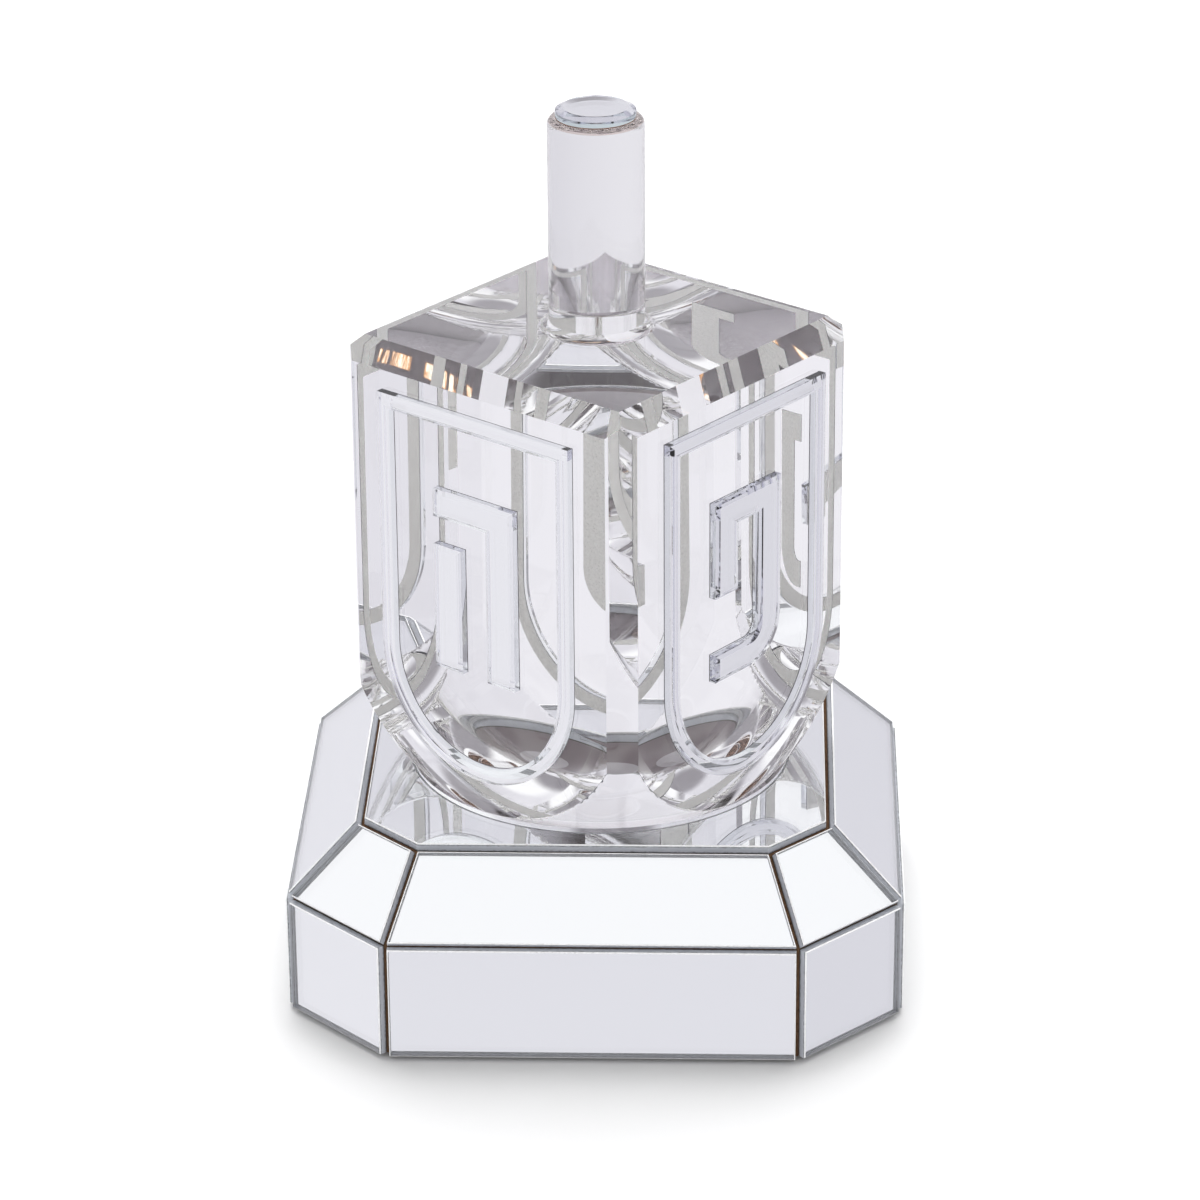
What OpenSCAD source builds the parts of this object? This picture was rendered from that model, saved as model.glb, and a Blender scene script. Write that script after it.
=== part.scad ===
// Crystal dreidel resting in an eight-sided mirrored stand.
// Millimetres. The origin is the middle of the stand's underside, on the table, with +Z up.
// The stand's long front side faces -Y. The dreidel stands with one corner turned to the front.

/* [Stand core] */
// Width of the core across its long flat sides
core_w = 81.6; // [74:0.2:90]
// How much of each long side the slanting corner takes away
corner_cut = 13.3; // [10:0.1:16]
// Height of the upright sides of the core
side_h = 16.2; // [14:0.1:24]
// Height and run of the 45 degree slope above them
slope_run = 9.3; // [7:0.1:10]

/* [Mirrors] */
// Thickness of the mirror glass
mirror_t = 1.2; // [1:0.1:2.5]
// Width of the top face of the core between its round hole and its long edges
rim_w = 5.2; // [4.4:0.1:7]
// Gap between neighbouring mirrors, in which the core shows
mirror_gap = 0.5; // [0.2:0.1:1]
// Gap between each slanting mirror and the upright one below it
sill_gap = 0.1; // [0.05:0.05:0.5]

/* [Felt] */
// Thickness of the felt under the stand
base_felt_t = 0.8; // [0.6:0.1:2]
// How far the felt under the stand stays back from the core's edge
base_felt_inset = 2.5; // [1:0.5:6]
// Thickness of the loose felt disc in the seat
seat_felt_t = 1; // [0.6:0.1:2]
// Room between the loose felt disc and the wall of the seat
seat_felt_room = 1; // [0.6:0.1:4]

/* [Crystal block] */
// Width of the square block
block_w = 50; // [46:0.2:52]
// Height of the block from the lowest point of its round bottom
block_h = 73.5; // [69:0.5:90]
// Radius of the ball that rounds the bottom
ball_r = 35.8; // [35:0.1:38]
// Width of the bevel around the top
top_bevel = 2.9; // [1:0.1:4]
// How much of each face the bevel on an upright corner takes away
edge_bevel = 3; // [2.5:0.1:4]
// Turn of the dreidel in its seat, away from corner to the front
seat_turn = 7; // [-45:1:45]

/* [Stem] */
// Diameter of the round stem
stem_d = 13; // [10:0.5:16]
// Length of the round stem
stem_h = 29.5; // [20:0.1:40]
// Radius of the rounded shoulder at the stem's top
stem_round = 1.1; // [0.5:0.1:1.5]
// Diameter of the mirror disc on top of the stem
cap_d = 10.8; // [6:0.1:13]
// Thickness of the mirror disc on top of the stem
cap_t = 1.4; // [0.8:0.1:2]
// Width of the bevel around the disc's upper edge
cap_bevel_w = 1; // [0.2:0.1:1.5]
// Depth of the bevel around the disc's upper edge
cap_bevel_h = 0.5; // [0.1:0.1:0.6]
// Width of the clear bond that creeps out around the stem's foot
bond_w = 1.4; // [0.6:0.1:2]
// Height of that bond
bond_h = 1; // [0.4:0.1:1.2]

/* [Raised marks] */
// How far the letters and borders stand out from the block
mark_t = 1.4; // [0.8:0.1:2]
// Width of each border across the face
border_w = 33.2; // [28:0.2:36]
// Width of the border's bar
border_bar = 2.1; // [1.2:0.1:3]
// Distance of the border's top from the top of the block
border_drop = 5.6; // [4.5:0.1:8]
// Length of the border's straight sides
border_side = 36.1; // [34:0.1:38]
// Height of every letter
letter_h = 26; // [20:0.5:27]
// Height at which the third letter's nose ends, above the letter's foot
nose_low = 12.3; // [10:0.1:15]
// Distance of the letters' top from the top of the block
letter_drop = 17.1; // [14:0.1:18]
// Width of the broad letters
letter_w = 14; // [12:0.5:18]
// Width of the narrow letters
narrow_w = 7.4; // [7:0.1:9]
// Width of the upright strokes
stroke_w = 4.8; // [3:0.1:5]
// Height of the level strokes
stroke_h = 4; // [3:0.1:5]
// Radius of the round corner at a letter's foot
foot_round = 6; // [5:0.1:8]

/* [Fits] */
// Gap between the ball and the edge of the hole
hole_gap = 0.5; // [0.3:0.05:1]
// Gap between the ball's lowest point and the felt disc
seat_gap = 0.3; // [0.2:0.05:0.6]
// Gap between the bond and the stem that it surrounds
bond_gap = 0.05; // [0.02:0.01:0.1]

/* [Hidden] */
$fn = 96;
MARKS = ["he", "pe", "nun", "gimel"];

// One overrun for every cut that has to go right through
over = 1;
// The diagonal of a unit square
diag = sqrt(2);

// Stand: levels, the distance and half width of its long and slanting sides, and its hole
core_z = base_felt_t;
slope_z = core_z + side_h;
top_z = slope_z + slope_run;
long_d = core_w / 2;
slant_d = (core_w - corner_cut) / diag;
long_half = core_w / 2 - corner_cut;
slant_half = corner_cut / diag;
slope_l = slope_run * diag;
hole_r = long_d - slope_run - rim_w;
// How fast each end of a slope draws in on its way up, between sides that turn by 45 degrees
slope_taper = slope_run * tan(45 / 2) / slope_l;
// Mirrors stop short of the core's edges by half a gap, and more along the ends that lean inwards
mirror_back = mirror_gap / 2;
sill_back = sill_gap / 2;
end_back = mirror_back * norm([1, slope_taper]);

// Crystal: the ball sits so deep that it clears the hole's upper edge by the hole gap
plate_z = top_z + mirror_t;
neck_r = hole_r - hole_gap;
ball_z = plate_z + sqrt(ball_r * ball_r - neck_r * neck_r);
ball_low_z = ball_z - ball_r;
block_top_z = ball_low_z + block_h;
edge_d = (block_w - edge_bevel) / diag;

// Seat: the felt disc lies under the ball, on the floor of the pocket
seat_floor_z = ball_low_z - seat_gap - seat_felt_t;
seat_felt_r = hole_r - seat_felt_room;

// Stem
stem_r = stem_d / 2;
cap_z = block_top_z + stem_h;
// Where the bond's hollow slope bends, as a share of its width and height
bond_knee_share = 0.3;

// Marks: the border's round foot has the border's own width
foot_r = border_w / 2;
foot_z = block_top_z - border_drop - border_side;
letter_z = block_top_z - letter_drop - letter_h;
// The slanting toe of the fourth letter, in shares of a stroke: its width, its tip and its rise
toe_w_share = 0.85;
toe_tip_share = 0.5;
toe_rise_share = 0.5;
toe_w = stroke_w * toe_w_share;
toe_h = stroke_h * toe_tip_share;
toe_rise = stroke_h * toe_rise_share;

// Flat shapes of the stand

module octagon(inset = 0) {
    intersection() {
        square(2 * (long_d - inset), center = true);
        rotate(45) square(2 * (slant_d - inset), center = true);
    }
}

// Outline of the core seen along one of its sides, with the slopes at the top
module core_outline(d) {
    polygon([[-d, core_z], [d, core_z], [d, slope_z], [d - slope_run, top_z],
             [slope_run - d, top_z], [-d, slope_z]]);
}

// An outline in X and Z, drawn out along Y to twice the given reach
module along_y(reach) {
    translate([0, reach, 0]) rotate([90, 0, 0]) linear_extrude(2 * reach) children();
}

function side_d(i) = i % 2 == 1 ? long_d : slant_d;
function side_half(i) = i % 2 == 1 ? long_half : slant_half;

// Stand pieces

module stand_core() color("saddlebrown") difference() {
    intersection() {
        along_y(core_w) core_outline(long_d);
        rotate(90) along_y(core_w) core_outline(long_d);
        rotate(45) along_y(core_w) core_outline(slant_d);
        rotate(135) along_y(core_w) core_outline(slant_d);
    }
    translate([0, 0, seat_floor_z]) cylinder(r = hole_r, h = top_z);
}

module top_mirror() color("lightsteelblue") translate([0, 0, top_z]) linear_extrude(mirror_t) difference() {
    octagon(slope_run + mirror_back);
    circle(hole_r);
}

// Mirrors are counted anticlockwise from the front, seen from above
module side_mirror(i) color("gainsboro") rotate(45 * (i - 1))
    translate([mirror_back - side_half(i), -side_d(i) - mirror_t, core_z])
        cube([2 * (side_half(i) - mirror_back), mirror_t, side_h - sill_back]);

module bevel_mirror(i) color("whitesmoke") rotate(45 * (i - 1))
    translate([0, -side_d(i), slope_z]) rotate([45, 0, 0]) linear_extrude(mirror_t)
        polygon([for (end = [[-1, 0], [1, 0], [1, 1], [-1, 1]])
                 let (up = end[1] == 0 ? sill_back : slope_l - mirror_back)
                 [end[0] * (side_half(i) - slope_taper * up - end_back), up]]);

module base_felt() color("dimgray") linear_extrude(base_felt_t) octagon(base_felt_inset);

module seat_felt() color("slategray") translate([0, 0, seat_floor_z]) cylinder(r = seat_felt_r, h = seat_felt_t);

// Dreidel pieces, drawn in line with X and Y and turned together

module in_seat() rotate(45 + seat_turn) children();

// Outline of the block with the bevel around its top
module block_outline() {
    half = block_w / 2;
    polygon([[-half, ball_low_z], [half, ball_low_z], [half, block_top_z - top_bevel],
             [half - top_bevel, block_top_z], [top_bevel - half, block_top_z],
             [-half, block_top_z - top_bevel]]);
}

module crystal_block() color("lavender") in_seat() intersection() {
    along_y(block_w) block_outline();
    rotate(90) along_y(block_w) block_outline();
    rotate(45) translate([-edge_d, -edge_d, ball_low_z]) cube([2 * edge_d, 2 * edge_d, block_h]);
    union() {
        translate([0, 0, ball_z]) sphere(r = ball_r);
        translate([0, 0, ball_z]) cylinder(r = block_w, h = block_h);
    }
}

module stem_rod() color("aliceblue") translate([0, 0, block_top_z]) rotate_extrude() {
    square([stem_r - stem_round, stem_h]);
    square([stem_r, stem_h - stem_round]);
    translate([stem_r - stem_round, stem_h - stem_round]) intersection() {
        circle(stem_round);
        square(stem_round);
    }
}

module stem_bond_ring() color("white") translate([0, 0, block_top_z]) rotate_extrude()
    polygon([[stem_r + bond_gap, 0], [stem_r + bond_w, 0],
             [stem_r + bond_w * bond_knee_share, bond_h * bond_knee_share],
             [stem_r + bond_gap, bond_h]]);

module stem_cap_disc() color("powderblue") translate([0, 0, cap_z]) rotate_extrude()
    polygon([[0, 0], [cap_d / 2, 0], [cap_d / 2, cap_t - cap_bevel_h],
             [cap_d / 2 - cap_bevel_w, cap_t], [0, cap_t]]);

// Raised marks: flat shapes with their middle at X = 0, stood up on a face of the block

// Faces are counted anticlockwise from the front left one, seen from above
module on_face(i) in_seat() rotate(90 * i - 90)
    translate([0, -block_w / 2, 0]) rotate([90, 0, 0]) linear_extrude(mark_t) children();

module shield(half, top) {
    translate([-half, foot_z]) square([2 * half, top - foot_z]);
    translate([0, foot_z]) circle(half);
}

module border(i) color("silver") on_face(i) difference() {
    shield(foot_r, foot_z + border_side);
    shield(foot_r - border_bar, foot_z + border_side - border_bar);
}

module upright(x, low, high) translate([x, low]) square([stroke_w, high - low]);

module level(left, right, low) translate([left, low]) square([right - left, stroke_h]);

// An upright on the right that turns in a round corner into a level foot to the left
module turned_foot(left, right) {
    inner_round = min(foot_round - stroke_h, right - stroke_w - left);
    difference() {
        union() {
            upright(right - stroke_w, 0, letter_h);
            level(left, right, 0);
        }
        translate([right - foot_round, foot_round]) difference() {
            translate([0, -foot_round - over]) square(foot_round + over);
            circle(foot_round);
        }
    }
    translate([right - stroke_w - inner_round, stroke_h]) difference() {
        square(inner_round);
        translate([0, inner_round]) circle(inner_round);
    }
}

module he() {
    half = letter_w / 2;
    level(-half, half, letter_h - stroke_h);
    upright(half - stroke_w, 0, letter_h);
    upright(-half, 0, letter_h - 2 * stroke_h);
}

module pe() {
    half = letter_w / 2;
    turned_foot(-half, half);
    level(-half, half, letter_h - stroke_h);
    upright(-half, nose_low, letter_h);
}

module nun() {
    half = narrow_w / 2;
    turned_foot(-half, half);
    level(-half, half, letter_h - stroke_h);
}

module gimel() {
    half = letter_w / 2;
    inner = half - stroke_w;
    upright(inner, 0, letter_h);
    level(half - narrow_w, half, letter_h - stroke_h);
    polygon([[-half, 0], [toe_w - half, 0], [toe_w - half, toe_h], [inner, toe_h + toe_rise],
             [inner, toe_h + toe_rise + stroke_h], [-half, toe_h + stroke_h]]);
}

module letter(i) color("lightgray") on_face(i) translate([0, letter_z]) {
    if (i == 0) he();
    if (i == 1) pe();
    if (i == 2) nun();
    if (i == 3) gimel();
}

crystal_block();
stem_rod();
stem_bond_ring();
stem_cap_disc();
for (i = [0:3]) border(i);
for (i = [0:3]) letter(i);
stand_core();
top_mirror();
for (i = [1:8]) side_mirror(i);
for (i = [1:8]) bevel_mirror(i);
base_felt();
seat_felt();
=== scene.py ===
"""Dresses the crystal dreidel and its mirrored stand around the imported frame. Metres, +Z up."""

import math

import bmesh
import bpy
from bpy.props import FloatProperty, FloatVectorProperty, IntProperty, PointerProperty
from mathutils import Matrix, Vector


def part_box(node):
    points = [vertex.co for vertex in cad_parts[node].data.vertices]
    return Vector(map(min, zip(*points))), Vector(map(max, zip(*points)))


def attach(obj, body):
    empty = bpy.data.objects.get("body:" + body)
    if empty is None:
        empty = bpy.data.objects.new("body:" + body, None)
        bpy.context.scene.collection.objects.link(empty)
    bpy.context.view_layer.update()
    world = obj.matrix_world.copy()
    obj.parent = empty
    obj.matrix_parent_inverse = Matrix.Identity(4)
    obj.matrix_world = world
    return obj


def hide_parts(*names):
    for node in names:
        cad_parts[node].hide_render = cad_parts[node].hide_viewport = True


bl_info = {
    "name": "Crystal Dreidel",
    "version": (1, 0, 0),
    "blender": (4, 5, 0),
    "location": "View3D > Sidebar > Dreidel",
    "description": "Cut crystal, bevelled mirror marks and mirror panels for a dreidel in its stand",
    "category": "Add Mesh",
}

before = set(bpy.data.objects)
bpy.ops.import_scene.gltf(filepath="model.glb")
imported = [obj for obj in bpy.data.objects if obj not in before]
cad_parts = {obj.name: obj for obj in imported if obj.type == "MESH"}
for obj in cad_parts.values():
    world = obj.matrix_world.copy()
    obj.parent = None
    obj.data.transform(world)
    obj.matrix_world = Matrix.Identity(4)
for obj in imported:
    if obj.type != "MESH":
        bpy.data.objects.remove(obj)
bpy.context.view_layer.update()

MM = 0.001
UP = Vector((0, 0, 1))
# Soft boxes and dark parts of the room, as glass and mirrors see them. Each has its azimuth and its
# height above the horizon, its reach from its middle and the width of its soft edge, all in degrees
BRIGHT_CARDS = ((-100, 61, 26, 8), (172, 32, 24, 8), (9, 40, 9, 5))
GREY_CARDS = ((76, 63, 19, 9), (-80, 32, 16, 10), (-175, 70, 8, 10), (-20, 60, 8, 10))
DARK_CARDS = ((98, 58, 9, 4),)
# The big light behind: its azimuth, reach and edge in degrees
KEY_AZIMUTH, KEY_REACH, KEY_EDGE = 90, 16, 15
# The light in front and the pale side of the room: the azimuth and height of their middles in degrees,
# and the cosines of the angles from there at which they start and are full
FRONT_MIDDLE, FRONT_SPREAD = (-90, 8), (0.1, 0.95)
PALE_MIDDLE, PALE_SPREAD = (170, -40), (-0.38, 0.76)
# Corners of the CAD meshes that lie closer than this are the same corner
SAME_POINT = 0.002 * MM
# How far the middle of a small flat face may lie inside the round surface that it stands for
ROUND_DIP = 0.02 * MM
# Faces that turn less than this from a wanted direction count as facing it
FACING = math.cos(math.radians(2))
# A face whose normal stands up this much lies level
LEVEL = 0.999
# Neighbouring faces that meet at less than this are one round surface, on a mirror and on the glue
ROUND_WALL = math.radians(15)
ROUND_GLUE = math.radians(50)
# The block's edges get an arris where they are sharper and longer than this
SHARP_EDGE = math.radians(20)
SHORT_EDGE = 1 * MM
# Index of refraction of mirror glass
MIRROR_INDEX = 1.518
MARKS = ("he", "pe", "nun", "gimel")
STAND_SIDES = 8
# Steps around the quarter turn of the stem's shoulder
SHOULDER_STEPS = 12
# Share of the glue's height and of its width at which its hollow slope bends
GLUE_KNEE = 0.3
# Marks with a film of air behind them, so that the crystal's own face shines in front of their paint
AIR_BACKED = ("letter_gimel",)
# Gathered light on the seat's front wall, painted there as a glowing band: a band that rises by a share
# of its way from left to right, the heights of its lower and upper edge at the middle, and the
# stretches of X in which it is lit
BAND_SLOPE = 0.35
BAND_HEIGHTS = (21.5 * MM, 23.1 * MM)
BAND_PARTS = ((-10.4 * MM, -3.8 * MM), (-1.3 * MM, 3.8 * MM))
BAND_END_FADE = 0.4 * MM
BAND_EDGE_FADE = 0.2 * MM
# How strong a full streak of that painted light is: up to 1 it is thin, and above that it thickens
FULL_STREAK = 2
# Where the seat's wall changes along Y, as shares of its radius: the front's painted shade ends, the
# back's painted light is full, and the darker band at the top behind is full
FRONT_END = -0.5
BACK_START = -0.1
RIM_START = 0.6
# Room outside the hole's radius in which a face still belongs to the seat's wall or the hole's wall
SEAT_ROOM = 0.1 * MM
HOLE_ROOM = 1 * MM


# Sizes and colours that a user would change

def length(name, description, millimetres):
    return FloatProperty(name=name, description=description, default=millimetres * MM, min=0,
                         precision=5, unit="LENGTH", subtype="DISTANCE")


def tint(name, description, default):
    return FloatVectorProperty(name=name, description=description, default=default, size=3,
                               min=0, max=4, subtype="COLOR")


class CrystalSettings(bpy.types.PropertyGroup):
    """The clear block, its stem and the glue between them."""
    ball_radius: length("Ball radius", "Radius of the block's round bottom", 35.8)
    arris: length("Arris", "Width of the fine bevel that breaks the block's sharp edges", 0.14)
    shoulder: length("Shoulder", "Radius of the rounded edge at the stem's top", 1.1)
    rings: IntProperty(name="Rings", description="Steps from the ball's pole to its equator",
                       default=72, min=16, max=128)
    segments: IntProperty(name="Segments", description="Steps around the ball and the stem",
                          default=192, min=48, max=256)
    index: FloatProperty(name="Refraction", description="Index of refraction of the crystal",
                         default=1.518, min=1, max=2)
    glass: tint("Crystal colour", "Colour that the crystal passes", (0.992, 0.992, 1.0))
    stem_glass: tint("Stem colour", "Colour that the stem passes", (0.90, 0.90, 0.91))
    stain: tint("Stained shoulder",
                "Colour that the stem's rounded edge passes, where glue has crept over it",
                (0.62, 0.49, 0.45))
    stain_reach: length("Stain reach", "How far down from the stem's top that glue reaches", 0.6)


class MarkSettings(bpy.types.PropertyGroup):
    """The raised letters and borders, and the disc on the stem."""
    bevel_width: length("Bevel width", "Width of the bevel along a letter's or border's edge", 0.55)
    bevel_drop: length("Bevel drop", "How far that bevel falls towards the wall", 0.35)
    cap_bevel_width: length("Disc bevel width", "Width of the bevel around the stem's disc", 1.0)
    cap_bevel_drop: length("Disc bevel drop", "How far the disc's bevel falls", 0.5)
    coat: length("Coat", "Thickness of the paint behind the silver", 0.12)
    sink: length("Sink", "How far the paint reaches into the crystal, so that it shows through it",
                 0.05)
    air_film: length("Air film", "Film of air behind a mark that isn't glued all over", 0.01)
    silver: tint("Silver", "Colour of the silver behind the glass", (0.93, 0.93, 0.95))
    paint: tint("Backing paint", "Colour of the paint seen through the block", (1.0, 0.99, 0.97))
    wall: tint("Wall", "Colour that the marks' upright walls pass", (0.88, 0.90, 0.905))
    disc_wall: tint("Disc wall", "Colour that the disc's upright wall passes", (0.68, 0.77, 0.77))
    # The paint's cut edge is painted dark: a painted shadow line round each mark
    edge: tint("Paint edge", "Colour of the backing paint's cut edge", (0.20, 0.20, 0.22))
    glue: tint("Disc glue", "Colour of the glue line under the stem's disc", (0.36, 0.23, 0.18))


class StandSettings(bpy.types.PropertyGroup):
    """The stand's mirrors, board and felt."""
    arris: length("Arris", "Width of the ground arris along each mirror's front edges", 0.16)
    coat: length("Coat", "Thickness of the paint behind the silver", 0.1)
    silver: tint("Silver", "Colour of the silver behind the glass", (0.93, 0.93, 0.95))
    paint: tint("Backing paint", "Colour of the paint behind the silver", (0.10, 0.085, 0.075))
    ground: tint("Ground glass", "Colour of the ground edges", (0.62, 0.64, 0.69))
    # The ground edges are darker near their own edges: painted shade where the mirrors meet in grooves
    ground_rim_shade: tint("Ground glass rims", "Colour of the ground edges near their own edges",
                     (0.20, 0.205, 0.22))
    broken: tint("Broken edge", "Colour of the fine ground arris around each mirror",
                 (0.95, 0.95, 0.96))
    board: tint("Board", "Colour of the bare board in the grooves", (0.13, 0.075, 0.045))
    # The seat's wall is one board: its dark front is painted shade and its pale sides and back are
    # painted light
    seat_front_in_shade: tint("Seat wall", "Colour of the seat's sealed wall at the front", (0.25, 0.225, 0.24))
    seat_back_in_light: tint("Seat wall behind", "Colour of the seat's sealed wall at the sides and behind",
                    (0.70, 0.67, 0.695))
    # The seat rim colour makes the wall darker in a band at its top, behind the axis
    seat_rim: tint("Seat rim", "Colour of the bare rim at the top of the seat's wall behind",
                   (0.31, 0.255, 0.265))
    rim_height: length("Seat rim height", "Height of that bare rim", 1.6)
    # The next three paint the light that the ball gathers on the front of the seat's wall: streaks that
    # glow, orange where thin and pale where thick
    stain: tint("Stain", "Colour of the thin runs of varnish on the front of the seat's wall",
                (0.80, 0.40, 0.16))
    painted_caustic: tint("Varnish", "Colour of the thick runs of varnish there", (1.0, 0.94, 0.78))
    gathered: FloatProperty(name="Gathered light", min=0, default=0.7,
                            description="Strength of the light that the ball gathers on those runs")
    felt: tint("Felt", "Colour of both felts", (0.72, 0.68, 0.73))


class StudioSettings(bpy.types.PropertyGroup):
    """Camera, floor and light."""
    eye: FloatVectorProperty(name="Camera place", description="Where the camera stands",
                             default=(0.02139, -0.62878, 0.33458), size=3, unit="LENGTH",
                             subtype="TRANSLATION")
    heading: FloatProperty(name="Heading", default=math.radians(1.939), subtype="ANGLE",
                           unit="ROTATION",
                           description="Turn of the view to the left of the stand's axis")
    dip: FloatProperty(name="Dip", description="Angle of the view below the horizon",
                       default=math.radians(24.388), subtype="ANGLE", unit="ROTATION")
    roll: FloatProperty(name="Roll", description="Roll of the camera to the right",
                        default=math.radians(0.426), subtype="ANGLE", unit="ROTATION")
    lens: FloatProperty(name="Lens", description="Focal length in millimetres on a 36 mm sensor",
                        default=150.37, min=10, max=400)
    floor_radius: length("Floor radius", "Radius of the round floor", 900)
    floor: tint("Floor", "Colour of the floor under the object", (0.92, 0.92, 0.925))
    dim_room: tint("Dim side", "What glass and mirrors see to the right and above", (0.76, 0.75, 0.80))
    pale_room: tint("Pale side", "What glass and mirrors see below and to the left",
                    (0.88, 0.87, 0.91))
    bright_card: tint("Bright cards", "Colour of the soft boxes that mirrors show", (1.04, 1.04, 1.05))
    grey_card: tint("Grey cards", "Colour of the dim parts of the room", (0.30, 0.285, 0.31))
    dark_card: tint("Dark cards", "Colour of the dark parts of the room", (0.02, 0.012, 0.012))
    fill: FloatProperty(name="Fill", description="Even light from all around", default=0.53, min=0)
    front: FloatProperty(name="Front light", description="Strength of the wide soft light in front",
                         default=0.92, min=0)
    key: FloatProperty(name="Key", description="Strength of the big soft light behind and above",
                       default=5.4, min=0)
    key_height: FloatProperty(name="Key height", description="Height of that light above the horizon",
                              default=math.radians(65), subtype="ANGLE", unit="ROTATION")


# Measures of the frame

def reach(node, direction):
    """How far a CAD node reaches along a direction, from the origin."""
    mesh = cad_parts[node].data
    return max(v.co.dot(direction) for v in mesh.vertices)


def azimuth(node):
    """Direction in plan from the axis to the middle of a CAD node, as an angle."""
    low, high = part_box(node)
    middle = (low + high) / 2
    return math.atan2(middle.y, middle.x)


def level_direction(angle):
    return Vector((math.cos(angle), math.sin(angle), 0))


def hole_radius():
    """Radius of the round hole in the top mirror."""
    return min(v.co.xy.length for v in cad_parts["top_mirror"].data.vertices)


# Helpers for meshes and objects

def add_piece(name, bm, materials, body, slot, *nodes):
    """Makes a finished piece from a bmesh, rides it on a body and lets it stand for its CAD nodes."""
    mesh = bpy.data.meshes.new(name)
    bm.to_mesh(mesh)
    bm.free()
    for material in materials:
        mesh.materials.append(material)
    piece = bpy.data.objects.new(name, mesh)
    bpy.context.scene.collection.objects.link(piece)
    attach(piece, body)
    if nodes:
        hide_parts(*nodes)
    return piece


def spin_profile(bm, edges, steps):
    """Turns a profile in X and Z round the Z axis into a closed solid."""
    bmesh.ops.spin(bm, geom=edges, cent=(0, 0, 0), axis=UP, angle=2 * math.pi, steps=steps,
                   use_merge=True)
    bmesh.ops.remove_doubles(bm, verts=bm.verts, dist=SAME_POINT)
    bmesh.ops.recalc_face_normals(bm, faces=bm.faces)


def arc(bm, vert, centre, axis, angle, steps):
    """Draws an arc of edges from a vertex and gives the vertex at its end."""
    made = bmesh.ops.spin(bm, geom=[vert], cent=centre, axis=axis, angle=angle, steps=steps)
    return [v for v in made["geom_last"] if isinstance(v, bmesh.types.BMVert)][0]


def draw_to(bm, vert, x, z):
    """Draws one straight edge of a profile and gives the vertex at its end."""
    made = bmesh.ops.extrude_vert_indiv(bm, verts=[vert])
    end = made["verts"][0]
    end.co = Vector((x, 0, z))
    return end


def cut(bm, normal, distance):
    """Cuts off all that lies beyond a plane and closes the cut with one flat face."""
    made = bmesh.ops.bisect_plane(bm, geom=bm.verts[:] + bm.edges[:] + bm.faces[:],
                                  dist=SAME_POINT / 10, plane_co=normal * distance,
                                  plane_no=normal, clear_outer=True)
    edges = [e for e in made["geom_cut"] if isinstance(e, bmesh.types.BMEdge)]
    bmesh.ops.holes_fill(bm, edges=edges, sides=0)


def glued_faces(node, outward):
    """A new bmesh with only the faces of a CAD node that look away from the given direction."""
    bm = bmesh.new()
    bm.from_mesh(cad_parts[node].data)
    bmesh.ops.remove_doubles(bm, verts=bm.verts, dist=SAME_POINT)
    others = [f for f in bm.faces if f.normal.dot(-outward) < FACING]
    bmesh.ops.delete(bm, geom=others, context="FACES")
    bmesh.ops.dissolve_limit(bm, angle_limit=math.radians(0.1), verts=bm.verts, edges=bm.edges)
    return bm


def thicken(bm, faces, offset):
    """Extrudes a flat region into a slab and gives the faces at its far side."""
    made = bmesh.ops.extrude_face_region(bm, geom=faces, use_keep_orig=True)
    far = [f for f in made["geom"] if isinstance(f, bmesh.types.BMFace)]
    bmesh.ops.translate(bm, verts=list({v for f in far for v in f.verts}), vec=offset)
    return far


# Which part of a mirror piece a face belongs to; the numbers are its material slots
FRONT, WALL, SILVER, COAT, COAT_EDGE, RIM = range(6)
# The same for the block, the stem and the glue
CLEAR, BONDED, STAINED = range(3)


def mirror_slab(node, outward, coat, sink, bevel_width, bevel_drop):
    """A mirror cut to a CAD node's outline: clear glass in front, silver, and a coat of paint behind.

    The "Depth" value of its corners is 0 at the silver and 1 at the front edge of the walls.
    """
    glued = glued_faces(node, outward)
    depth = reach(node, outward) - min(v.co.dot(outward) for v in glued.verts)
    bm = glued.copy()
    depths = bm.verts.layers.float.new("Depth")
    bmesh.ops.translate(bm, verts=bm.verts, vec=outward * coat)
    back = bm.faces[:]
    front = thicken(bm, back, outward * (depth - coat - bevel_drop))
    for face in bm.faces:
        face.material_index = WALL
    for face in back:
        face.material_index = SILVER
    for face in front:
        face.material_index = FRONT
        face.normal_update()
    if front[0].normal.dot(outward) < 0:
        bmesh.ops.reverse_faces(bm, faces=front)
    rim = bmesh.ops.inset_region(bm, faces=front, thickness=bevel_width, depth=bevel_drop,
                                 use_boundary=True, use_even_offset=True)
    for face in rim["faces"]:
        face.material_index = RIM
    silver_side = {v for face in back for v in face.verts}
    for vert in bm.verts:
        vert[depths] = 0 if vert in silver_side else 1
    bmesh.ops.recalc_face_normals(bm, faces=bm.faces)
    bmesh.ops.translate(glued, verts=glued.verts, vec=-outward * sink)
    thicken(glued, glued.faces[:], outward * (coat + sink - SAME_POINT))
    for face in glued.faces:
        face.normal_update()
        face.material_index = COAT if abs(face.normal.dot(outward)) > FACING else COAT_EDGE
    bmesh.ops.recalc_face_normals(glued, faces=glued.faces)
    shell = bpy.data.meshes.new(node + "_coat")
    glued.to_mesh(shell)
    glued.free()
    bm.from_mesh(shell)
    bpy.data.meshes.remove(shell)
    return bm


def smooth_curved_walls(bm, angle):
    """Shades as round the runs of narrow faces that meet at less than an angle."""
    for face in bm.faces:
        face.smooth = True
    for edge in bm.edges:
        edge.smooth = len(edge.link_faces) == 2 and edge.calc_face_angle(0) < angle


# Shader node groups

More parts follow.
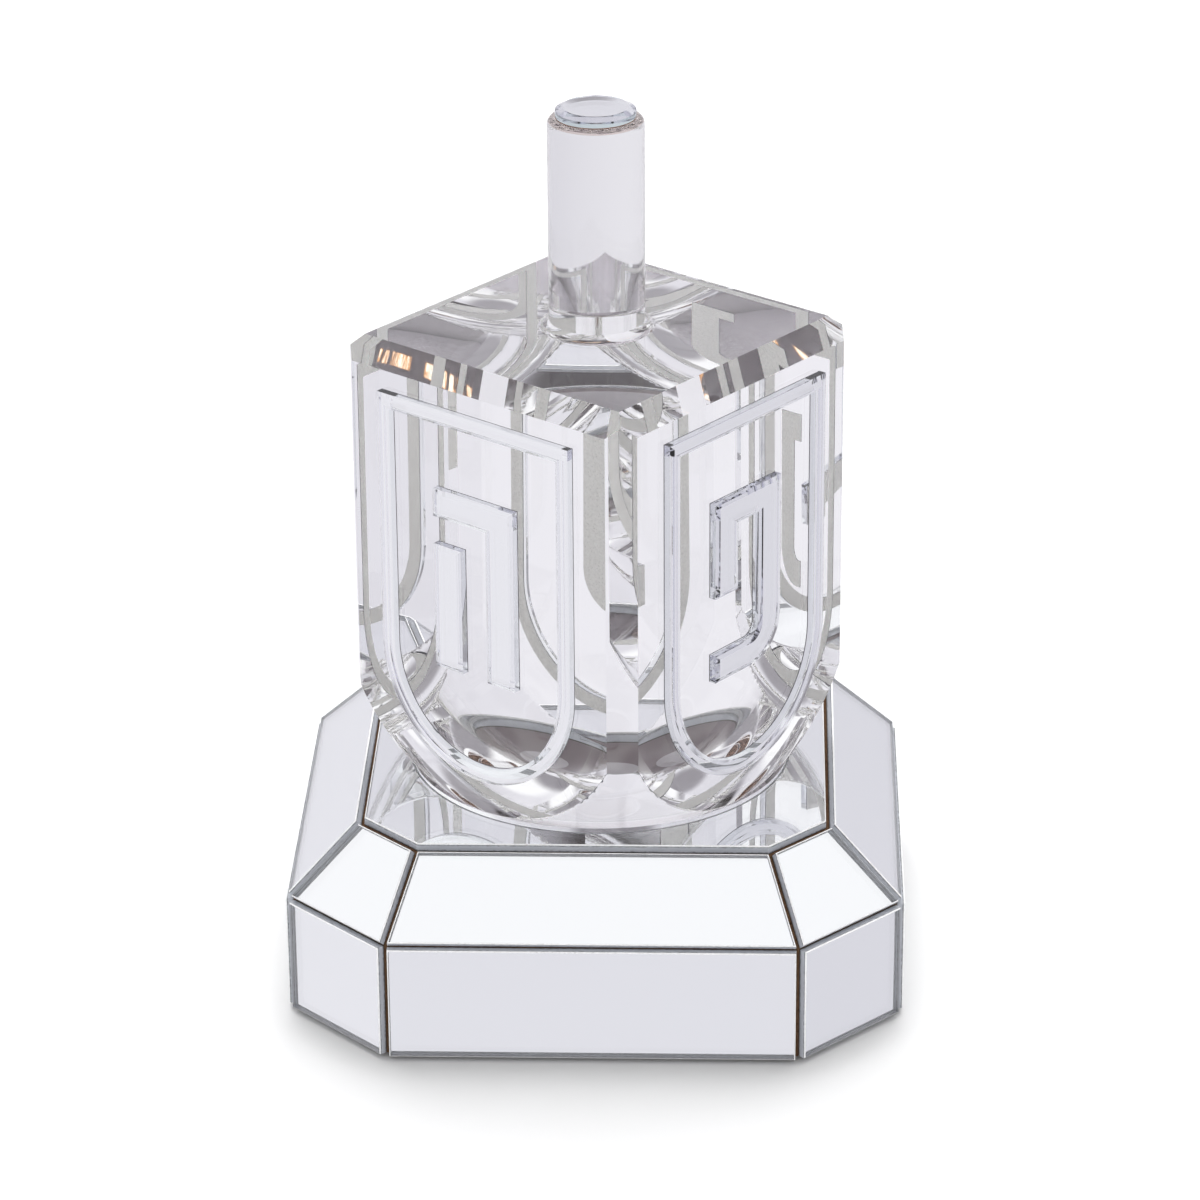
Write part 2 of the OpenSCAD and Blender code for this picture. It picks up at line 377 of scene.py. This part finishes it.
def node_group(name, inputs, outputs):
    """An empty shader group with float inputs (name: default) and the named outputs."""
    group = bpy.data.node_groups.new(name, "ShaderNodeTree")
    for label, default in inputs.items():
        socket = group.interface.new_socket(label, in_out="INPUT", socket_type="NodeSocketFloat")
        socket.default_value = default
    for label in outputs:
        group.interface.new_socket(label, in_out="OUTPUT", socket_type="NodeSocketFloat")
    return group, group.nodes.new("NodeGroupInput"), group.nodes.new("NodeGroupOutput")


def feed(tree, socket, value):
    """Sets a socket to a number, or links it to another node's output."""
    if isinstance(value, bpy.types.NodeSocket):
        tree.links.new(value, socket)
    else:
        socket.default_value = value


def value_node(tree, operation, *inputs):
    """A Math node whose inputs are numbers or other nodes' outputs."""
    node = tree.nodes.new("ShaderNodeMath")
    node.operation = operation
    for socket, value in zip(node.inputs, inputs):
        feed(tree, socket, value)
    return node.outputs[0]


def ramp(tree, value, start_end, low_high=(0, 1), soft=False):
    """Carries a value from one range to another and holds it at the new range's ends."""
    node = tree.nodes.new("ShaderNodeMapRange")
    if soft:
        node.interpolation_type = "SMOOTHSTEP"
    for label, limit in zip(("From Min", "From Max", "To Min", "To Max"), (*start_end, *low_high)):
        feed(tree, node.inputs[label], limit)
    tree.links.new(value, node.inputs["Value"])
    return node.outputs["Result"]


def noise(tree, place, scale, detail, roughness):
    """The value of a Noise texture at a place."""
    node = tree.nodes.new("ShaderNodeTexNoise")
    node.inputs["Detail"].default_value = detail
    node.inputs["Roughness"].default_value = roughness
    tree.links.new(place, node.inputs["Vector"])
    tree.links.new(scale, node.inputs["Scale"])
    return node.outputs["Fac"]


def speckle_group():
    """Fine speckle: a soft mottle and a scatter of small grains, on Object coordinates."""
    group, inputs, outputs = node_group(
        "Speckle", {"Grain size mm": 0.3, "Grain amount": 0.3}, ("Mottle", "Grain"))
    nodes, links = group.nodes, group.links
    place = nodes.new("ShaderNodeTexCoord").outputs["Object"]
    scale = value_node(group, "DIVIDE", 1 / MM, inputs.outputs["Grain size mm"])
    mottle = noise(group, place, scale, detail=4, roughness=0.7)
    links.new(mottle, outputs.inputs["Mottle"])
    cells = nodes.new("ShaderNodeTexVoronoi")
    links.new(place, cells.inputs["Vector"])
    links.new(scale, cells.inputs["Scale"])
    near = value_node(group, "LESS_THAN", cells.outputs["Distance"], inputs.outputs["Grain amount"])
    links.new(near, outputs.inputs["Grain"])
    return group


def smudge_group():
    """Faint handling marks on polished glass: the amount of haze at each place."""
    group, inputs, outputs = node_group(
        "Smudge", {"Size mm": 9.0, "Strength": 0.02}, ("Haze",))
    place = group.nodes.new("ShaderNodeTexCoord").outputs["Object"]
    scale = value_node(group, "DIVIDE", 1 / MM, inputs.outputs["Size mm"])
    cloud = noise(group, place, scale, detail=6, roughness=0.5)
    patch = ramp(group, cloud, (0.52, 0.75), (0, inputs.outputs["Strength"]))
    group.links.new(patch, outputs.inputs["Haze"])
    return group


def streaks_group():
    """Streaks down a wall, long along Z: the strength of a streak at each place. They draw the painted
    light on the seat's wall.
    """
    group, inputs, outputs = node_group(
        "Streaks", {"Spacing mm": 1.0, "Length share": 0.06}, ("Streak",))
    nodes, links = group.nodes, group.links
    parts = nodes.new("ShaderNodeSeparateXYZ")
    links.new(nodes.new("ShaderNodeTexCoord").outputs["Object"], parts.inputs[0])
    drawn = nodes.new("ShaderNodeCombineXYZ")
    links.new(parts.outputs["X"], drawn.inputs["X"])
    links.new(parts.outputs["Y"], drawn.inputs["Y"])
    slow = value_node(group, "MULTIPLY", parts.outputs["Z"], inputs.outputs["Length share"])
    links.new(slow, drawn.inputs["Z"])
    scale = value_node(group, "DIVIDE", 1 / MM, inputs.outputs["Spacing mm"])
    lines = noise(group, drawn.outputs["Vector"], scale, detail=3, roughness=0.75)
    links.new(ramp(group, lines, (0.42, 0.6), soft=True), outputs.inputs["Streak"])
    return group


def place_group(material, name, build, **values):
    """Puts a shared group in a material with its own values."""
    node = material.node_tree.nodes.new("ShaderNodeGroup")
    node.node_tree = bpy.data.node_groups.get(name) or build()
    for label, value in values.items():
        node.inputs[label.replace("_", " ")].default_value = value
    return node


def blend_colours(tree, share, first, second):
    """Mixes two colours, each given as a tuple or as another node's output."""
    node = tree.nodes.new("ShaderNodeMix")
    node.data_type = "RGBA"
    tree.links.new(share, node.inputs[0])
    for socket, value in ((node.inputs[6], first), (node.inputs[7], second)):
        feed(tree, socket, value if isinstance(value, bpy.types.NodeSocket) else (*value, 1))
    return node.outputs[2]


# Materials

def new_material(name):
    material = bpy.data.materials.new(name)
    material.use_nodes = True
    return material, material.node_tree.nodes["Principled BSDF"]


def clear_glass(name, colour, index, haze=0.0):
    """Polished glass, with a little haze where it has been handled."""
    material, shader = new_material(name)
    shader.inputs["Base Color"].default_value = (*colour, 1)
    shader.inputs["Roughness"].default_value = 0
    shader.inputs["IOR"].default_value = index
    shader.inputs["Transmission Weight"].default_value = 1
    if haze:
        smudge = place_group(material, "Smudge", smudge_group, Strength=haze)
        material.node_tree.links.new(smudge.outputs["Haze"], shader.inputs["Roughness"])
    return material


def extruded_glass(name, colour, index):
    """Drawn glass rod: clear, with a fine grain that softens what shows through it."""
    material, shader = new_material(name)
    tree = material.node_tree
    speckle = place_group(material, "Speckle", speckle_group, Grain_size_mm=0.5, Grain_amount=0.2)
    grain = ramp(tree, speckle.outputs["Mottle"], (0, 1), (0.02, 0.09))
    tree.links.new(grain, shader.inputs["Roughness"])
    shader.inputs["Base Color"].default_value = (*colour, 1)
    shader.inputs["IOR"].default_value = index
    shader.inputs["Transmission Weight"].default_value = 1
    return material


def bonded_face(name):
    """A glass face in full contact with other glass: light passes as if nothing were there."""
    material, shader = new_material(name)
    shader.inputs["Alpha"].default_value = 0
    shader.inputs["IOR"].default_value = 1
    return material


def ground_glass(name, colour, rim_shade_colour):
    """Sawn and ground glass: pale, rough and half clear, with painted shade in a ragged band along both
    of its edges.
    """
    material, shader = new_material(name)
    tree = material.node_tree
    depth = tree.nodes.new("ShaderNodeAttribute")
    depth.attribute_name = "Depth"
    off_middle = value_node(tree, "SUBTRACT", depth.outputs["Fac"], 0.5)
    from_middle = value_node(tree, "ABSOLUTE", off_middle)
    ragged_border = place_group(material, "Speckle", speckle_group, Grain_size_mm=0.6, Grain_amount=0.2)
    rough = value_node(tree, "MULTIPLY_ADD", ragged_border.outputs["Mottle"], 0.5, from_middle)
    # Painted shade near both edges of the ground face, with a ragged border
    rims = ramp(tree, rough, (0.52, 0.72))
    tree.links.new(blend_colours(tree, rims, colour, rim_shade_colour), shader.inputs["Base Color"])
    speckle = place_group(material, "Speckle", speckle_group, Grain_size_mm=0.35, Grain_amount=0.25)
    tree.links.new(ramp(tree, speckle.outputs["Mottle"], (0, 1), (0.25, 0.6)),
                   shader.inputs["Roughness"])
    bump = tree.nodes.new("ShaderNodeBump")
    bump.inputs["Distance"].default_value = 0.03 * MM
    tree.links.new(speckle.outputs["Mottle"], bump.inputs["Height"])
    tree.links.new(bump.outputs["Normal"], shader.inputs["Normal"])
    shader.inputs["IOR"].default_value = 1.5
    shader.inputs["Transmission Weight"].default_value = 0.2
    return material


def silver(name, colour):
    """Silver seen through the glass, with a faint haze."""
    material, shader = new_material(name)
    shader.inputs["Base Color"].default_value = (*colour, 1)
    shader.inputs["Metallic"].default_value = 1
    smudge = place_group(material, "Smudge", smudge_group, Strength=0.015, Size_mm=4.0)
    material.node_tree.links.new(smudge.outputs["Haze"], shader.inputs["Roughness"])
    return material


def speckled_paint(name, colour, grain_mm, contrast):
    """Sprayed backing paint: mottled, with small darker grains."""
    material, shader = new_material(name)
    tree = material.node_tree
    speckle = place_group(material, "Speckle", speckle_group, Grain_size_mm=grain_mm,
                          Grain_amount=0.22)
    shade = ramp(tree, speckle.outputs["Mottle"], (0.3, 0.7), (1 - contrast, 1 + contrast / 2))
    spots = value_node(tree, "MULTIPLY_ADD", speckle.outputs["Grain"], -contrast, shade)
    dye = tree.nodes.new("ShaderNodeVectorMath")
    dye.operation = "SCALE"
    dye.inputs[0].default_value = colour
    tree.links.new(spots, dye.inputs["Scale"])
    tree.links.new(dye.outputs["Vector"], shader.inputs["Base Color"])
    shader.inputs["Roughness"].default_value = 0.7
    shader.inputs["Specular IOR Level"].default_value = 0
    return material


def product(tree, *factors):
    """All the given outputs and numbers multiplied together; the first is an output."""
    result = factors[0]
    for factor in factors[1:]:
        result = value_node(tree, "MULTIPLY", result, factor)
    return result


def within(tree, value, low, high, fade):
    """1 where a value lies between two limits, with soft ends."""
    rise = ramp(tree, value, (low - fade, low), soft=True)
    fall = ramp(tree, value, (high + fade, high), soft=True)
    return product(tree, rise, fall)


def board_with_painted_caustic(name, settings, seat_radius, seat_top):
    """Raw board whose seat wall has painted shade at the front, painted light at the sides and behind,
    a darker band at its top behind, and glowing streaks of painted light on its front where the ball
    gathers light.
    """
    material = speckled_paint(name, settings.board, grain_mm=0.8, contrast=0.35)
    tree = material.node_tree
    shader = tree.nodes["Principled BSDF"]
    streaks = place_group(material, "Streaks", streaks_group, Spacing_mm=0.5)
    patches = place_group(material, "Speckle", speckle_group, Grain_size_mm=3.0)
    place = tree.nodes.new("ShaderNodeTexCoord")
    parts = tree.nodes.new("ShaderNodeSeparateXYZ")
    tree.links.new(place.outputs["Object"], parts.inputs[0])
    x, y, z = (parts.outputs[axis] for axis in "XYZ")
    from_axis = value_node(tree, "ADD", product(tree, x, x), product(tree, y, y))
    seat = value_node(tree, "LESS_THAN", from_axis, (seat_radius + SEAT_ROOM) ** 2)
    front = value_node(tree, "LESS_THAN", y, FRONT_END * seat_radius)
    level = value_node(tree, "MULTIPLY_ADD", x, -BAND_SLOPE, z)
    parts_lit = value_node(tree, "ADD",
                           *(within(tree, x, *ends, BAND_END_FADE) for ends in BAND_PARTS))
    band = within(tree, level, *BAND_HEIGHTS, BAND_EDGE_FADE)
    patch = ramp(tree, patches.outputs["Mottle"], (0.34, 0.44))
    zone = product(tree, parts_lit, band, front, seat, patch)
    # Painted light: glowing streaks where the ball gathers light, orange where thin and pale where
    # thick
    runs = product(tree, zone, streaks.outputs["Streak"], FULL_STREAK)
    thin = value_node(tree, "MINIMUM", runs, 1)
    thick = value_node(tree, "MAXIMUM", value_node(tree, "SUBTRACT", runs, 1), 0)
    painted_caustic = blend_colours(tree, thick, settings.stain, settings.painted_caustic)
    # Painted shade at the front of the seat's wall, painted light at its sides and behind
    back = ramp(tree, y, (FRONT_END * seat_radius, BACK_START * seat_radius))
    # Darker in a band at the top of the wall, behind the axis
    behind_axis = within(tree, y, RIM_START * seat_radius, seat_radius, RIM_START * seat_radius)
    at_top = value_node(tree, "GREATER_THAN", z, seat_top - settings.rim_height)
    bare = product(tree, behind_axis, at_top)
    behind = blend_colours(tree, bare, settings.seat_back_in_light, settings.seat_rim)
    wall = blend_colours(tree, back, settings.seat_front_in_shade, behind)
    # Inside the seat the board takes these painted colours of its wall instead of its own
    sealed = blend_colours(tree, seat, shader.inputs["Base Color"].links[0].from_socket, wall)
    tree.links.new(blend_colours(tree, thin, sealed, painted_caustic), shader.inputs["Base Color"])
    tree.links.new(blend_colours(tree, thin, (0, 0, 0), painted_caustic), shader.inputs["Emission Color"])
    shader.inputs["Emission Strength"].default_value = settings.gathered
    tree.links.new(ramp(tree, thin, (0, 1), (0.7, 0.35)), shader.inputs["Roughness"])
    return material


# Operators, one for each group of pieces

class CrystalBlock(bpy.types.Operator):
    """Cut the clear block: a ball-ended square bar with bevels around its top and down its corners"""
    bl_idname = "dreidel.crystal_block"
    bl_label = "Crystal Block"

    def execute(self, context):
        settings = context.scene.dreidel_crystal
        node = "crystal_block"
        low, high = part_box(node)
        bond = reach("stem_bond_ring", Vector((1, 0, 0)))
        bm = bmesh.new()
        centre = low.z + settings.ball_radius
        pole = bm.verts.new((0, 0, low.z))
        equator = arc(bm, pole, (0, 0, centre), (0, -1, 0), math.pi / 2, settings.rings)
        top = draw_to(bm, equator, settings.ball_radius, high.z)
        foot = draw_to(bm, top, bond, high.z)
        draw_to(bm, foot, 0, high.z)
        spin_profile(bm, bm.edges[:], settings.segments)
        turned = azimuth("border_he")
        for side in range(4):
            face_way = level_direction(turned + side * math.pi / 2)
            corner_way = level_direction(turned + (side + 0.5) * math.pi / 2)
            slant_way = (face_way + UP).normalized()
            for way in (face_way, corner_way, slant_way):
                cut(bm, way, reach(node, way))
        bmesh.ops.recalc_face_normals(bm, faces=bm.faces)
        ball = Vector((0, 0, centre))
        for face in bm.faces:
            middle = face.calc_center_median()
            on_ball = (middle - ball).length > settings.ball_radius - ROUND_DIP
            face.smooth = on_ball and middle.z < centre
            on_top = middle.z > high.z - SAME_POINT
            face.material_index = BONDED if on_top and middle.xy.length < bond else CLEAR
        edges = [e for e in bm.edges if len(e.link_faces) == 2
                 and not any(f.smooth for f in e.link_faces)
                 and e.calc_face_angle(0) > SHARP_EDGE and e.calc_length() > SHORT_EDGE]
        bmesh.ops.bevel(bm, geom=edges, offset=settings.arris, offset_type="WIDTH", segments=1,
                        profile=0.5, affect="EDGES", material=-1, clamp_overlap=True)
        crystal = clear_glass("Crystal", settings.glass, settings.index, haze=0.006)
        add_piece("crystal_block_glass", bm, [crystal, bonded_face("Bonded face")], "dreidel",
                  "crystal", node)
        return {"FINISHED"}


class Stem(bpy.types.Operator):
    """Turn the clear stem with its rounded shoulder, and the glue around its foot"""
    bl_idname = "dreidel.stem"
    bl_label = "Stem"

    def execute(self, context):
        settings = context.scene.dreidel_crystal
        low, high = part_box("stem_rod")
        ring_low, ring_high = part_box("stem_bond_ring")
        radius = reach("stem_rod", Vector((1, 0, 0)))
        glass = extruded_glass("Stem glass", settings.stem_glass, settings.index)
        stained = extruded_glass("Stained stem glass", settings.stain, settings.index)
        bonded = bpy.data.materials["Bonded face"]
        bm = bmesh.new()
        start = bm.verts.new((0, 0, low.z))
        foot = draw_to(bm, start, radius, low.z)
        wet = draw_to(bm, foot, radius, ring_high.z)
        shoulder = draw_to(bm, wet, radius, high.z - settings.shoulder)
        crown = arc(bm, shoulder, (radius - settings.shoulder, 0, high.z - settings.shoulder),
                    (0, -1, 0), math.pi / 2, SHOULDER_STEPS)
        draw_to(bm, crown, 0, high.z)
        spin_profile(bm, bm.edges[:], settings.segments)
        for face in bm.faces:
            middle = face.calc_center_median()
            face.smooth = abs(face.normal.z) < LEVEL
            if middle.z < ring_high.z:
                face.material_index = BONDED
            elif middle.z > high.z - settings.stain_reach:
                face.material_index = STAINED
            else:
                face.material_index = CLEAR
        add_piece("stem_rod_glass", bm, [glass, bonded, stained], "dreidel", "crystal", "stem_rod")

        outer = reach("stem_bond_ring", Vector((1, 0, 0)))
        bm = bmesh.new()
        inner = bm.verts.new((radius, 0, ring_low.z))
        edge = draw_to(bm, inner, outer, ring_low.z)
        knee = draw_to(bm, edge, radius + (outer - radius) * GLUE_KNEE,
                       ring_low.z + (ring_high.z - ring_low.z) * GLUE_KNEE)
        top = draw_to(bm, knee, radius, ring_high.z)
        bm.edges.new((top, inner))
        spin_profile(bm, bm.edges[:], settings.segments)
        for face in bm.faces:
            face.smooth = True
            at_stem = abs(face.calc_center_median().xy.length - radius) < ROUND_DIP
            face.material_index = BONDED if at_stem or face.normal.z < -FACING else CLEAR
        for edge in bm.edges:
            edge.smooth = edge.calc_face_angle(0) < ROUND_GLUE
        bond = clear_glass("Clear bond", (0.98, 0.98, 0.985), settings.index, haze=0.02)
        add_piece("stem_bond_glue", bm, [bond, bonded], "dreidel", "clear_bond", "stem_bond_ring")
        return {"FINISHED"}


class Marks(bpy.types.Operator):
    """Cut the bevelled mirror letters and borders, and the disc on top of the stem"""
    bl_idname = "dreidel.marks"
    bl_label = "Letters, Borders and Disc"

    def execute(self, context):
        settings = context.scene.dreidel_marks
        glass = clear_glass("Mark glass", (0.975, 0.985, 0.98), MIRROR_INDEX, haze=0.01)
        wall = clear_glass("Mark wall", settings.wall, MIRROR_INDEX, haze=0.05)
        back = silver("Mark silver", settings.silver)
        # Painted shadow line: the paint's cut edge is dark round each mark
        edge = speckled_paint("Paint edge", settings.edge, grain_mm=0.4, contrast=0.2)
        paint = speckled_paint("Mark backing", settings.paint, grain_mm=0.45, contrast=0.12)
        for mark in MARKS:
            outward = level_direction(azimuth("border_" + mark))
            for kind in ("border_", "letter_"):
                sink = -settings.air_film if kind + mark in AIR_BACKED else settings.sink
                bm = mirror_slab(kind + mark, outward, settings.coat, sink,
                                 settings.bevel_width, settings.bevel_drop)
                smooth_curved_walls(bm, ROUND_WALL)
                add_piece(kind + mark + "_mirror", bm, [glass, wall, back, paint, edge, glass],
                          "dreidel", "mark_mirror", kind + mark)
        glue = speckled_paint("Disc glue", settings.glue, grain_mm=0.6, contrast=0.3)
        rim = clear_glass("Disc wall", settings.disc_wall, MIRROR_INDEX, haze=0.02)
        bm = mirror_slab("stem_cap_disc", UP, settings.coat, settings.sink,
                         settings.cap_bevel_width, settings.cap_bevel_drop)
        smooth_curved_walls(bm, ROUND_WALL)
        add_piece("stem_cap_mirror", bm, [glass, rim, back, glue, glue, glass],
                  "dreidel", "mark_mirror", "stem_cap_disc")
        return {"FINISHED"}


class StandMirrors(bpy.types.Operator):
    """Cut the stand's seventeen mirrors, with ground edges and silver behind"""
    bl_idname = "dreidel.stand_mirrors"
    bl_label = "Stand Mirrors"

    def execute(self, context):
        settings = context.scene.dreidel_stand
        glass = clear_glass("Mirror glass", (0.97, 0.985, 0.98), MIRROR_INDEX, haze=0.008)
        ground = ground_glass("Ground edge", settings.ground, settings.ground_rim_shade)
        arris = speckled_paint("Ground arris", settings.broken, grain_mm=0.5, contrast=0.12)
        back = silver("Mirror silver", settings.silver)
        paint = speckled_paint("Mirror backing", settings.paint, grain_mm=0.5, contrast=0.2)
        hole = hole_radius() + HOLE_ROOM
        panels = [("top_mirror", UP)]
        for number in range(1, STAND_SIDES + 1):
            outward = level_direction((number - 1) * 2 * math.pi / STAND_SIDES - math.pi / 2)
            panels.append((f"side_mirror_{number}", outward))
            panels.append((f"bevel_mirror_{number}", (outward + UP).normalized()))
        for node, outward in panels:
            bm = mirror_slab(node, outward, settings.coat, 0, settings.arris, settings.arris)
            for face in bm.faces:
                if face.material_index == WALL and face.calc_center_median().xy.length < hole:
                    face.material_index = FRONT
            smooth_curved_walls(bm, ROUND_WALL)
            add_piece(node + "_glass", bm, [glass, ground, back, paint, paint, arris], "stand",
                      "mirror_glass", node)
        return {"FINISHED"}


class CoreAndFelt(bpy.types.Operator):
    """Give the board core and the two felts their finish"""
    bl_idname = "dreidel.core_and_felt"
    bl_label = "Core and Felt"

    def execute(self, context):
        settings = context.scene.dreidel_stand
        # The board's material carries the painted light and shade of the seat's wall
        board = board_with_painted_caustic("Board with painted seat light", settings, hole_radius(), reach("stand_core", UP))
        felt = speckled_paint("Felt", settings.felt, grain_mm=0.35, contrast=0.5)
        for node, material in (("stand_core", board), ("base_felt", felt), ("seat_felt", felt)):
            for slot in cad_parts[node].material_slots:
                slot.material = material
        return {"FINISHED"}


class Studio(bpy.types.Operator):
    """Set up the camera, the pale floor and the soft light"""
    bl_idname = "dreidel.studio"
    bl_label = "Studio"

    def execute(self, context):
        settings = context.scene.dreidel_studio
        scene = context.scene
        scene.view_settings.view_transform = "Standard"
        scene.cycles.max_bounces = 32
        scene.cycles.transmission_bounces = 32
        scene.cycles.glossy_bounces = 24
        scene.cycles.transparent_max_bounces = 16
        lens = bpy.data.cameras.new("Camera")
        lens.sensor_width = 36
        lens.lens = settings.lens
        lens.clip_start = 10 * MM
        camera = bpy.data.objects.new("Camera", lens)
        scene.collection.objects.link(camera)
        camera.matrix_world = (Matrix.Translation(settings.eye)
                               @ Matrix.Rotation(settings.heading, 4, "Z")
                               @ Matrix.Rotation(math.pi / 2 - settings.dip, 4, "X")
                               @ Matrix.Rotation(-settings.roll, 4, "Z"))
        scene.camera = camera

        bm = bmesh.new()
        bmesh.ops.create_circle(bm, cap_ends=True, radius=settings.floor_radius, segments=96)
        mesh = bpy.data.meshes.new("floor")
        bm.to_mesh(mesh)
        bm.free()
        floor = bpy.data.objects.new("floor", mesh)
        scene.collection.objects.link(floor)
        mesh.materials.append(floor_material(settings))

        surroundings(scene, settings)
        return {"FINISHED"}


def seen_in_glass(tree, path):
    """1 for what the camera sees in mirrors and through glass, 0 for light that falls on a surface."""
    either = value_node(tree, "MAXIMUM", path.outputs["Is Glossy Ray"],
                        path.outputs["Is Transmission Ray"])
    direct = value_node(tree, "LESS_THAN", path.outputs["Diffuse Depth"], 0.5)
    return product(tree, either, direct)


def floor_material(settings):
    """Pale floor that keeps the object's shadow; glass and mirrors see the room below in its place."""
    material, shader = new_material("Floor")
    tree = material.node_tree
    shader.inputs["Base Color"].default_value = (*settings.floor, 1)
    shader.inputs["Roughness"].default_value = 0.9
    shader.inputs["Specular IOR Level"].default_value = 0
    in_glass = seen_in_glass(tree, tree.nodes.new("ShaderNodeLightPath"))
    through = tree.nodes.new("ShaderNodeBsdfTransparent")
    mix = tree.nodes.new("ShaderNodeMixShader")
    tree.links.new(in_glass, mix.inputs["Fac"])
    tree.links.new(shader.outputs["BSDF"], mix.inputs[1])
    tree.links.new(through.outputs["BSDF"], mix.inputs[2])
    tree.links.new(mix.outputs["Shader"], tree.nodes["Material Output"].inputs["Surface"])
    return material


def towards(azimuth_degrees, height_degrees):
    """A direction given by its azimuth and its height above the horizon."""
    around, up = math.radians(azimuth_degrees), math.radians(height_degrees)
    return (math.cos(up) * math.cos(around), math.cos(up) * math.sin(around), math.sin(up))


def lobe(tree, direction, start, end):
    """A share that rises from 0 to 1 as the surroundings' direction nears the given one."""
    place = tree.nodes.new("ShaderNodeTexCoord")
    along = tree.nodes.new("ShaderNodeVectorMath")
    along.operation = "DOT_PRODUCT"
    along.inputs[1].default_value = direction
    tree.links.new(place.outputs["Generated"], along.inputs[0])
    return ramp(tree, along.outputs["Value"], (start, end), soft=True)


def card(tree, direction, span, edge):
    """A round patch of the surroundings: its reach and the width of its soft edge are in degrees."""
    return lobe(tree, direction, math.cos(math.radians(span + edge)), math.cos(math.radians(span)))


def surroundings(scene, settings):
    """White for the camera, soft light from behind and above, and a pale room for glass and mirrors."""
    world = bpy.data.worlds.new("Studio")
    scene.world = world
    world.use_nodes = True
    tree = world.node_tree
    light = tree.nodes["Background"]
    output = tree.nodes["World Output"]
    key_way = towards(KEY_AZIMUTH, math.degrees(settings.key_height))
    key_share = card(tree, key_way, KEY_REACH, KEY_EDGE)
    front_share = lobe(tree, towards(*FRONT_MIDDLE), *FRONT_SPREAD)
    soft = blend_colours(tree, front_share, (settings.fill,) * 3, (settings.front,) * 3)
    tree.links.new(blend_colours(tree, key_share, soft, (settings.key,) * 3), light.inputs["Color"])
    pale_share = lobe(tree, towards(*PALE_MIDDLE), *PALE_SPREAD)
    colour = blend_colours(tree, pale_share, settings.dim_room, settings.pale_room)
    for cards, tone in ((BRIGHT_CARDS, settings.bright_card), (GREY_CARDS, settings.grey_card),
                        (DARK_CARDS, settings.dark_card)):
        for around, up, span, edge in cards:
            share = card(tree, towards(around, up), span, edge)
            colour = blend_colours(tree, share, colour, tone)
    room = tree.nodes.new("ShaderNodeBackground")
    tree.links.new(colour, room.inputs["Color"])
    white = tree.nodes.new("ShaderNodeBackground")
    white.inputs["Color"].default_value = (1, 1, 1, 1)
    path = tree.nodes.new("ShaderNodeLightPath")
    in_glass = seen_in_glass(tree, path)
    first = tree.nodes.new("ShaderNodeMixShader")
    tree.links.new(in_glass, first.inputs["Fac"])
    tree.links.new(light.outputs[0], first.inputs[1])
    tree.links.new(room.outputs[0], first.inputs[2])
    last = tree.nodes.new("ShaderNodeMixShader")
    tree.links.new(path.outputs["Is Camera Ray"], last.inputs["Fac"])
    tree.links.new(first.outputs[0], last.inputs[1])
    tree.links.new(white.outputs[0], last.inputs[2])
    tree.links.new(last.outputs[0], output.inputs["Surface"])


class DreidelPanel(bpy.types.Panel):
    """Lists the dreidel's steps in the sidebar"""
    bl_idname = "VIEW3D_PT_dreidel"
    bl_label = "Crystal Dreidel"
    bl_space_type = "VIEW_3D"
    bl_region_type = "UI"
    bl_category = "Dreidel"

    def draw(self, context):
        for operator in OPERATORS:
            self.layout.operator(operator.bl_idname)
        for name in SETTINGS:
            group = getattr(context.scene, name)
            box = self.layout.box()
            for prop in group.bl_rna.properties:
                if prop.identifier not in ("rna_type", "name"):
                    box.prop(group, prop.identifier)


SETTINGS = {
    "dreidel_crystal": CrystalSettings,
    "dreidel_marks": MarkSettings,
    "dreidel_stand": StandSettings,
    "dreidel_studio": StudioSettings,
}
OPERATORS = (CrystalBlock, Stem, Marks, StandMirrors, CoreAndFelt, Studio)
CLASSES = (*SETTINGS.values(), *OPERATORS, DreidelPanel)


def register():
    for cls in CLASSES:
        bpy.utils.register_class(cls)
    for name, cls in SETTINGS.items():
        setattr(bpy.types.Scene, name, PointerProperty(type=cls))


def unregister():
    for name in SETTINGS:
        delattr(bpy.types.Scene, name)
    for cls in reversed(CLASSES):
        bpy.utils.unregister_class(cls)


def main():
    register()
    bpy.ops.dreidel.crystal_block()
    bpy.ops.dreidel.stem()
    bpy.ops.dreidel.marks()
    bpy.ops.dreidel.stand_mirrors()
    bpy.ops.dreidel.core_and_felt()
    bpy.ops.dreidel.studio()


if __name__ == "__main__":
    main()
